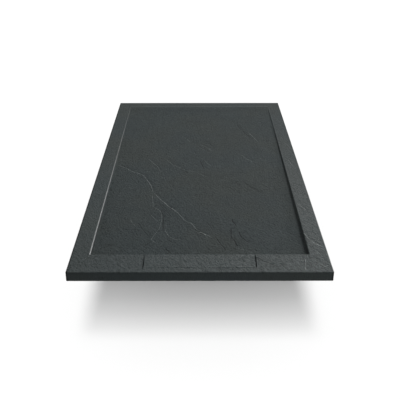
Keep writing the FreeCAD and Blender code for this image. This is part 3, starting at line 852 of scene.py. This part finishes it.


# Slate: broad patches of cool and warm grey, a fine bloom on the grain, pale veins and dark cracks along
# the lines stored with the mesh, and a relief of drawn-out chips, pits and those lines. It also has a
# painted sheen on the rim towards the drain end's right corner, and painted shade on the left outer edge,
# the upright front corners and beside the veins.
def slateMaterial(name, tone=1.0):
    look = slateLook
    g = Graph(bpy.data.materials.new(name))
    flat = g.place()
    grain = g.place(slateSettings["grainAngle"], (look["grainStretch"], 1.0, 1.0))
    stored = {label: g.node("ShaderNodeAttribute", {"attribute_name": label}, output="Vector")
              for label in ("vein", "crack")}
    basin, polish = g.axis(stored["vein"], 2), g.axis(stored["crack"], 2)

    def tinted(colour, share, tint):
        return g.mix(share, colour, rgb(*look[tint]))

    # Where a point lies: east and near go from 0 to 1 across and along, onTop is 1 on the rim's face.
    eastward, northward, upward = (g.axis(flat, number) for number in range(3))
    east = eastward * (0.5 / halfWidth) + 0.5
    near = 0.5 - northward * (0.5 / halfLength)
    onTop = g.between(upward, *(rimLevel - drop for drop in look["topEdge"]))
    shown = onTop.maths("MAXIMUM", basin)
    # Where the rim is less rough and carries the painted glints.
    polishAndSheen = east * near * near * onTop

    # Grain and its colours.
    patches = g.noise(flat, *look["patches"])
    chips = g.noise(grain, *look["chips"])
    fine = g.noise(flat, *look["fine"])
    pits = g.spots(grain, *look["pits"])
    pecks = g.spots(grain, *look["pecks"]) * near * (1 - east * basin) * shown
    colour = g.mix(g.spots(flat, *look["broad"]), rgb(*look["cool"]), rgb(*look["warm"]))
    colour = tinted(colour, look["baseShare"], "base")
    colour = tinted(colour, g.between(chips, *look["chipRange"], 0.0, look["dustShare"]), "dustAndSheen")
    colour = tinted(colour, g.between(patches, *look["patchRange"], 0.0, look["hollowShare"]), "hollow")
    colour = tinted(colour, (1 - pits) * look["pitShare"], "dark")
    # Painted sheen: the rim's top is painted paler towards the drain end's right corner, and the outer faces
    # paler towards the right.
    pale = (east * (1 - look["sheenLeft"]) + look["sheenLeft"]) * onTop
    pale = pale + east * (1 - shown) * look["sheenFront"]
    colour = tinted(colour, pale * near * near * look["rimPaintedSheen"], "dustAndSheen")
    # Painted glints: the grain's light and dark is stronger where the sheen is painted.
    colour = g.mix(1.0, colour, (chips - 0.5) * polishAndSheen * look["rimMottle"] + 1.0, "MULTIPLY")
    colour = tinted(colour, pecks * look["peckShare"], "dark")

    # Veins and cracks.
    wander = (g.noise(flat, *look["wander"]) - 0.5) * look["wanderBy"]
    wander = wander + (g.noise(flat, *look["tremble"]) - 0.5) * look["trembleBy"]
    uneven = g.spots(flat, *look["uneven"])
    sides, marks, ledges = {}, {}, {}
    for label in ("vein", "crack"):
        width, kept = look[label]
        sides[label] = g.axis(stored[label], 0) + wander
        weight = g.axis(stored[label], 1)
        mark = g.between(sides[label].maths("ABSOLUTE"), width * look["core"], width, 1.0, 0.0) * weight
        marks[label] = mark * (kept + (1 - kept) * uneven)
        ledges[label] = g.between(sides[label], -look["ledge"], look["ledge"]) * weight
    # Painted shadow on one side of each vein.
    beside = g.between((sides["vein"] + look["shadeSide"]).maths("ABSOLUTE"), *look["shadeWidth"], 1.0, 0.0)
    shade = beside * g.axis(stored["vein"], 1) * g.spots(flat, *look["shade"])
    colour = tinted(colour, marks["vein"] * look["paleShare"], "pale")
    colour = tinted(colour, shade * look["shadeShare"], "dark")
    colour = tinted(colour, marks["crack"], "dark")

    # Painted shade: the left outer edge and the upright front corners are darkened.
    westEdgeShade = g.between(eastward + halfWidth, *look["westEdgeShade"], 1.0, 0.0) * onTop
    upright = g.between(halfWidth - eastward.maths("ABSOLUTE"), *look["upright"], 1.0, 0.0) * (1 - onTop)
    upright = upright * g.between(northward + halfLength, *look["frontEdge"], 1.0, 0.0)
    colour = tinted(colour, (westEdgeShade + upright) * look["edgeShare"], "dark")
    if tone != 1.0:
        colour = g.mix(1.0, colour, (tone, tone, tone, 1.0), "MULTIPLY")

    broken = look["broken"] + near * near * look["brokenNear"] * (1 - east * basin * look["smoothRight"])
    broken = broken * (shown * look["smoothSides"] + (1 - look["smoothSides"]))
    rough = chips * look["chipHeight"] + fine * look["fineHeight"] + pits * look["pitHeight"]
    height = (rough - pecks * look["peckDepth"]) * broken + patches * look["patchHeight"]
    height = height + marks["vein"] * look["veinHeight"] - marks["crack"] * look["crackDepth"]
    height = height - ledges["vein"] * look["ledgeDepth"] - ledges["crack"] * look["ledgeDepth"]
    rim = look["rimRough"] - polishAndSheen * look["rimPolish"]
    roughness = rim + basin * (look["floorRough"] - rim) + (look["evenPlace"] - near) * look["farRough"]
    roughness = roughness + (0.5 - chips) * look["chipRough"]
    return g.finish(colour, roughness, height, *look["bump"], IOR=look["index"], Coat_Weight=polish,
                    Specular_IOR_Level=look["specular"], Coat_Roughness=look["coatRough"])


steelLook = {
    "dark": (138, 138, 135),
    "light": (162, 162, 159),
    "broad": (40.0, 3.0),
    "scratches": (900.0, 2.0),
    "scratchStretch": 14.0,
    "range": (0.3, 0.7),
    "rough": (0.34, 0.48),
    "bump": (0.25, 0.0001),  # strength and distance
}


# Brushed steel: fine drawn-out scratches over a soft, slightly uneven grey.
def steelMaterial(name):
    look = steelLook
    g = Graph(bpy.data.materials.new(name))
    broad = g.noise(g.place(), *look["broad"])
    scratch = g.noise(g.place(0.0, (1.0, look["scratchStretch"], 1.0)), *look["scratches"])
    colour = g.mix(g.between(broad, *look["range"]), rgb(*look["dark"]), rgb(*look["light"]))
    rough = g.between(scratch, *look["range"], *look["rough"])
    return g.finish(colour, rough, scratch, *look["bump"], Metallic=1.0)


mouldedLook = {
    "mottle": (60.0, 3.0),
    "range": (0.3, 0.7),
    "darker": 0.85,
    "darkShare": 0.6,
    "roughBy": 0.05,
    "grain": (600.0, 2.0),
    "bump": (0.2, 0.0002),
}


# Moulded plastic or rubber: an even colour with faint mottling and a fine spark-eroded grain.
def mouldedMaterial(name, colour, roughness, **fixed):
    look = mouldedLook
    g = Graph(bpy.data.materials.new(name))
    place = g.place()
    mottle = g.noise(place, *look["mottle"])
    plain = rgb(*colour)
    darker = tuple(part * look["darker"] for part in plain[:3]) + (1.0,)
    shade = g.mix(g.between(mottle, *look["range"], 0.0, look["darkShare"]), plain, darker)
    rough = g.between(mottle, *look["range"], roughness - look["roughBy"], roughness + look["roughBy"])
    return g.finish(shade, rough, g.noise(place, *look["grain"]), *look["bump"], **fixed)


brassLook = {
    "clean": (205, 165, 96),
    "dull": (150, 112, 62),
    "tarnish": (300.0, 4.0),
    "dullRange": (0.35, 0.7),
    "roughRange": (0.3, 0.7),
    "rough": (0.25, 0.45),
    "bump": (0.15, 0.0001),
}


# Turned brass with a faint tarnish.
def brassMaterial(name):
    look = brassLook
    g = Graph(bpy.data.materials.new(name))
    tarnish = g.noise(g.place(), *look["tarnish"])
    colour = g.mix(g.between(tarnish, *look["dullRange"]), rgb(*look["clean"]), rgb(*look["dull"]))
    rough = g.between(tarnish, *look["roughRange"], *look["rough"])
    return g.finish(colour, rough, tarnish, *look["bump"], Metallic=1.0)


# Gives a piece its material, and links a new piece into the scene under its body.
def dress(piece, material, body=None):
    piece.data.materials.clear()
    piece.data.materials.append(material)
    if body:
        bpy.context.scene.collection.objects.link(piece)
        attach(piece, body)


tray = makeTray()
dress(tray, slateMaterial("slate"), "tray")
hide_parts("tray_body")
print("tray:", len(tray.data.polygons), "faces")

cover = makeCover()
dress(cover, slateMaterial("slateCover", coverSettings["tone"]), "cover")
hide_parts("drain_cover")
print("cover:", len(cover.data.polygons), "faces")

steel = steelMaterial("brushedSteel")
nodeMaterials = {
    "cover_pads": mouldedMaterial("silicone", (176, 180, 178), 0.4, Subsurface_Weight=0.2),
    "waste_flange": steel,
    "hair_strainer": steel,
    "flange_screws": steel,
    "flange_seal": mouldedMaterial("blackRubber", (26, 26, 27), 0.7),
    "collar_seal": mouldedMaterial("blackRubberLow", (30, 30, 30), 0.7),
    "waste_collar": mouldedMaterial("paleNylon", (196, 196, 190), 0.45),
    "collar_inserts": brassMaterial("turnedBrass"),
    "strainer_knob": mouldedMaterial("darkNylon", (38, 39, 41), 0.4),
}
for nodeName, material in nodeMaterials.items():
    dress(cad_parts[nodeName], material)
print("materials: done")

# Stage: a white floor well under the tray.
stageSettings = {
    "drop": 0.326,  # floor below the tray's underside
    "reach": 60.0,
    "colour": 0.5,
    "bounce": 0.29,  # its colour as it lights the tray from below
}


# The floor shows its own colour, lights the tray by a darker one, and is clear from below.
def makeStage(s):
    sides = ((-1, -1), (1, -1), (1, 1), (-1, 1))
    corners = np.array([(x * s["reach"], y * s["reach"], -s["drop"]) for x, y in sides])
    floor = bpy.data.objects.new("stageFloor", meshFrom("stageFloor", corners, [[0, 1, 2, 3]]))
    bpy.context.scene.collection.objects.link(floor)
    g = Graph(bpy.data.materials.new("stageWhite"))
    greys = ((s[key],) * 3 + (1.0,) for key in ("bounce", "colour"))
    bounce, plain = (g.node("ShaderNodeBsdfDiffuse", {}, {"Color": grey}) for grey in greys)
    above = g.node("ShaderNodeMixShader", {}, [g.seenPlainly(), bounce, plain])
    clear = g.node("ShaderNodeBsdfTransparent")
    underneath = g.node("ShaderNodeNewGeometry", output="Backfacing")
    surface = g.node("ShaderNodeMixShader", {}, [underneath, above, clear])
    g.node("ShaderNodeOutputMaterial", {}, {"Surface": surface})
    floor.data.materials.append(g.owner)
    return floor


# A light group that has the floor alone, or all but the floor.
def floorLink(floor, state):
    group = bpy.data.collections.new("floor" + state.title())
    group.objects.link(floor)
    group.collection_objects[0].light_linking.link_state = state
    return group


# The tray's lamps: a broad one high on the right and two smaller ones behind. Azimuths are counted from
# straight behind the tray towards +X, in degrees.
lampSettings = {
    "high": {"azimuth": 60, "elevation": 52, "spread": 46, "power": 0.7},
    "low": {"azimuth": 23, "elevation": 36, "spread": 12, "power": 2.3},
    "edge": {"azimuth": 40, "elevation": 12, "spread": 8, "power": 0.9},
}
# A fan of narrow lamps in front, for the floor alone, casts the tray's shadow under its drain end.
fanSettings = {
    "azimuth": 180,
    "elevations": (21, 63),
    "count": 6,
    "spread": 12,
    "light": 1.72,  # on the floor, from all of them
}


def makeLamp(name, azimuth, elevation, spread, power, group):
    data = bpy.data.lights.new(name, "SUN")
    data.energy = power
    data.angle = math.radians(spread)
    lamp = bpy.data.objects.new(name, data)
    turn, rise = math.radians(azimuth), math.radians(elevation)
    towards = Vector((math.sin(turn) * math.cos(rise), math.cos(turn) * math.cos(rise), math.sin(rise)))
    lamp.rotation_euler = towards.to_track_quat("Z", "Y").to_euler()
    lamp.light_linking.receiver_collection = group
    bpy.context.scene.collection.objects.link(lamp)


# The tray's lamps, and the fan, whose lamps light the floor alike: their power goes by one over the sine of
# their elevation.
def makeLamps(lamps, fan, floor):
    others = floorLink(floor, "EXCLUDE")
    for name, s in lamps.items():
        makeLamp(name, **s, group=others)
    alone = floorLink(floor, "INCLUDE")
    for number, elevation in enumerate(np.linspace(*fan["elevations"], fan["count"])):
        power = fan["light"] / fan["count"] * math.pi / math.sin(math.radians(elevation))
        makeLamp("fan%d" % number, fan["azimuth"], elevation, fan["spread"], power, alone)


worldSettings = {"front": 0.42, "back": 0.34, "seen": 1.0}


# World light that changes from front to back, and plain white as the camera sees it.
def makeWorld(s):
    g = Graph(bpy.data.worlds.new("studio"))
    seen = g.seenPlainly()
    direction = g.axis(g.node("ShaderNodeTexCoord", output="Generated"), 1)
    fill = g.between(direction, -1.0, 1.0, s["front"], s["back"])
    strength = fill * (1 - seen) + seen * s["seen"]
    light = g.node("ShaderNodeBackground", {}, {"Color": (1.0, 1.0, 1.0, 1.0), "Strength": strength})
    g.node("ShaderNodeOutputWorld", {}, {"Surface": light})
    bpy.context.scene.world = g.owner


makeLamps(lampSettings, fanSettings, makeStage(stageSettings))
makeWorld(worldSettings)
bpy.context.scene.view_settings.view_transform = "Standard"
print("stage and lamps: done")
